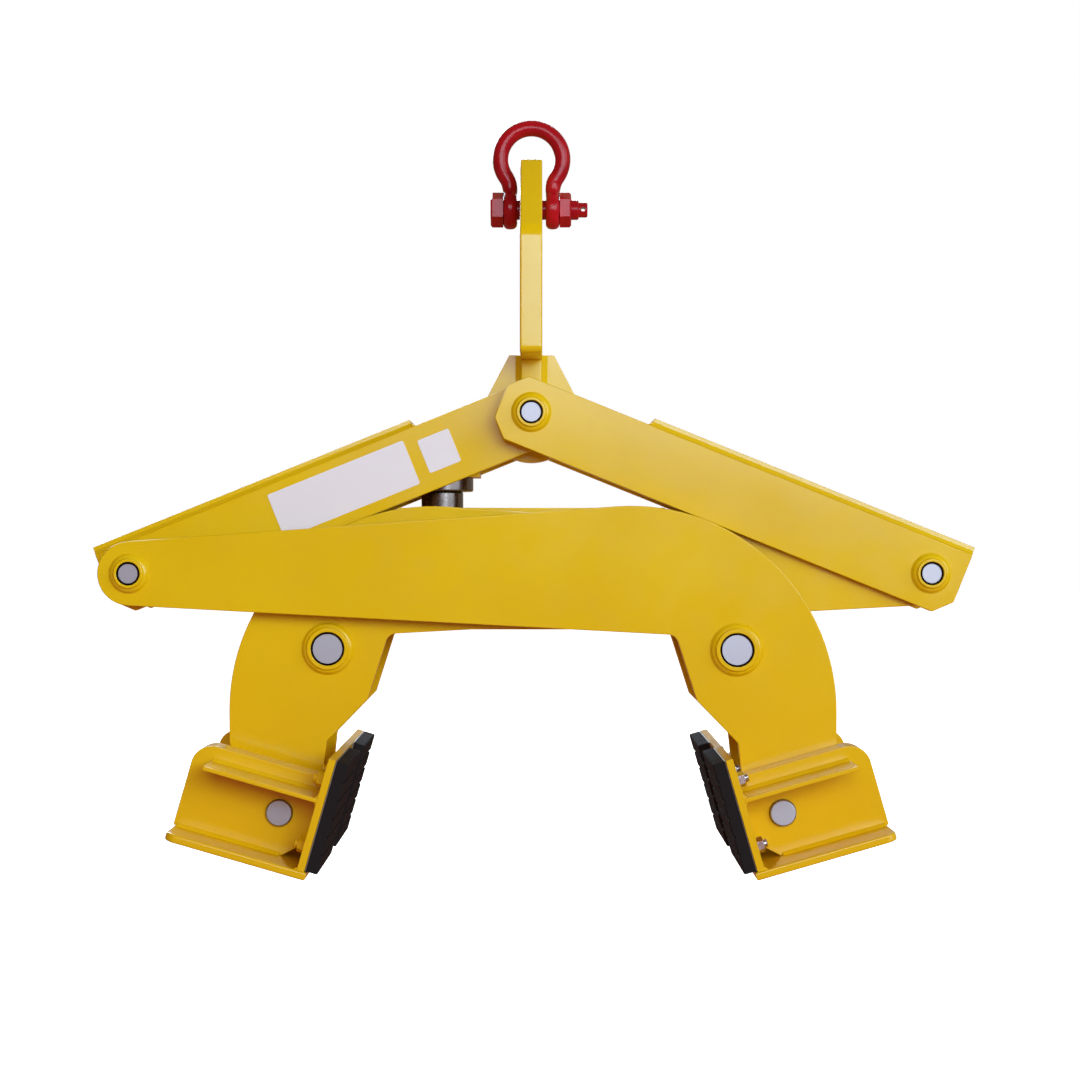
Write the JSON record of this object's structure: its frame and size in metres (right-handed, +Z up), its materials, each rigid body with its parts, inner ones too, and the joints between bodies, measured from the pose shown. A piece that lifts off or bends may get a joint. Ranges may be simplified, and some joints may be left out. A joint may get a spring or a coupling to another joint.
{
  "type": "barrier grab",
  "caption": "Scissor lifting grab with crossed plate arms, tie links, a shackle bail and swivelling rubber-padded feet that grip a road barrier.",
  "frame": {"origin": "inside crown of the shackle bow, where a hook seats", "axes": "+X across the grab from the left jaw to the right, +Y away from the viewer along the pads, +Z up"},
  "size_m": [1.279, 0.46, 1.0877],
  "materials": {
    "yellow_enamel": "glossy sprayed enamel",
    "red_enamel": "glossy enamel on a forging",
    "pin_steel": "turned bright",
    "black_ring": "black phosphate",
    "latch_steel": "black oxide, oiled",
    "pad_rubber": "moulded, matte",
    "zinc_stud": "bright zinc plate",
    "backing_steel": "rolled"
  },
  "bodies": {
    "shackle": {"shackle_bow": "red_enamel", "shackle_bolt": "red_enamel", "shackle_nut": "red_enamel"},
    "hub": {"bail_plate": "yellow_enamel", "hub_plate": "yellow_enamel", "hub_pin": "pin_steel", "hub_pin_rings": "black_ring", "hub_spacers": "yellow_enamel", "latch_bracket": "yellow_enamel", "latch_flange": "latch_steel", "latch_barrel": "latch_steel"},
    "plunger": {"latch_plunger": "pin_steel"},
    "beam": {"beam_front_plate": "yellow_enamel", "beam_rear_plate": "yellow_enamel", "beam_top_plate": "yellow_enamel", "beam_ties": "yellow_enamel", "beam_bushes": "yellow_enamel", "latch_post": "latch_steel"},
    "left_link": {"left_link_front_plate": "yellow_enamel", "left_link_rear_plate": "yellow_enamel", "left_link_cap": "yellow_enamel", "left_link_bosses": "yellow_enamel", "left_end_pin": "pin_steel", "left_end_rings": "black_ring", "left_end_spacers": "yellow_enamel"},
    "left_arm": {"left_arm_front_plate": "yellow_enamel", "left_arm_rear_plate": "yellow_enamel", "left_arm_bosses": "yellow_enamel", "left_arm_back_plate": "yellow_enamel", "left_fulcrum_pin": "pin_steel", "left_fulcrum_rings": "black_ring"},
    "left_foot": {"left_foot_face_plate": "yellow_enamel", "left_foot_sole": "yellow_enamel", "left_foot_cheeks": "yellow_enamel", "left_foot_ribs": "yellow_enamel", "left_foot_pin": "pin_steel", "left_pad_backings": "backing_steel", "left_pads": "pad_rubber", "left_pad_studs": "yellow_enamel"},
    "right_link": {"right_link_front_plate": "yellow_enamel", "right_link_rear_plate": "yellow_enamel", "right_link_cap": "yellow_enamel", "right_link_bosses": "yellow_enamel", "right_end_pin": "pin_steel", "right_end_rings": "black_ring", "right_end_spacers": "yellow_enamel"},
    "right_arm": {"right_arm_front_plate": "yellow_enamel", "right_arm_rear_plate": "yellow_enamel", "right_arm_bosses": "yellow_enamel", "right_arm_back_plate": "yellow_enamel", "right_fulcrum_pin": "pin_steel", "right_fulcrum_rings": "black_ring"},
    "right_foot": {"right_foot_face_plate": "yellow_enamel", "right_foot_sole": "yellow_enamel", "right_foot_cheeks": "yellow_enamel", "right_foot_ribs": "yellow_enamel", "right_foot_pin": "pin_steel", "right_pad_backings": "backing_steel", "right_pads": "pad_rubber", "right_pad_studs": "zinc_stud"}
  },
  "joints": [
    {"name": "bail_swing", "type": "hinge", "parent": "shackle", "child": "hub", "pos_m": [0, 0, -0.109], "axis": [1, 0, 0], "range_deg": [-60, 60]},
    {"name": "left_link_fold", "type": "hinge", "parent": "hub", "child": "left_link", "pos_m": [0, 0, -0.413], "axis": [0, -1, 0], "range_deg": [0, 12]},
    {"name": "right_link_fold", "type": "hinge", "parent": "hub", "child": "right_link", "pos_m": [0, 0, -0.413], "axis": [0, 1, 0], "range_deg": [0, 12]},
    {"name": "right_arm_fold", "type": "hinge", "parent": "left_link", "child": "right_arm", "pos_m": [-0.575, 0, -0.645], "axis": [0, 1, 0], "range_deg": [0, 27.56]},
    {"name": "left_arm_fold", "type": "hinge", "parent": "right_link", "child": "left_arm", "pos_m": [0.575, 0, -0.645], "axis": [0, -1, 0], "range_deg": [0, 27.56]},
    {"name": "beam_drop", "type": "slide", "parent": "hub", "child": "beam", "axis": [0, 0, -1], "range_m": [0, 0.3417]},
    {"name": "right_foot_swing", "type": "hinge", "parent": "right_arm", "child": "right_foot", "pos_m": [0.354, 0, -0.9805], "axis": [0, 1, 0], "range_deg": [-20, 6]},
    {"name": "left_foot_swing", "type": "hinge", "parent": "left_arm", "child": "left_foot", "pos_m": [-0.354, 0, -0.9805], "axis": [0, -1, 0], "range_deg": [-20, 6]},
    {"name": "plunger_slide", "type": "slide", "parent": "hub", "child": "plunger", "axis": [0, 0, 1], "range_m": [0, 0.015], "stiffness_N_per_m": 400, "springref_m": -0.01}
  ],
  "couplings": [
    {"joint": "right_link_fold", "follows": "left_link_fold", "ratio": 1},
    {"joint": "right_arm_fold", "follows": "left_link_fold", "ratio": 2.2926},
    {"joint": "left_arm_fold", "follows": "left_link_fold", "ratio": 2.2926},
    {"joint": "beam_drop", "follows": "left_link_fold", "m_per_rad": 1.6291}
  ]
}
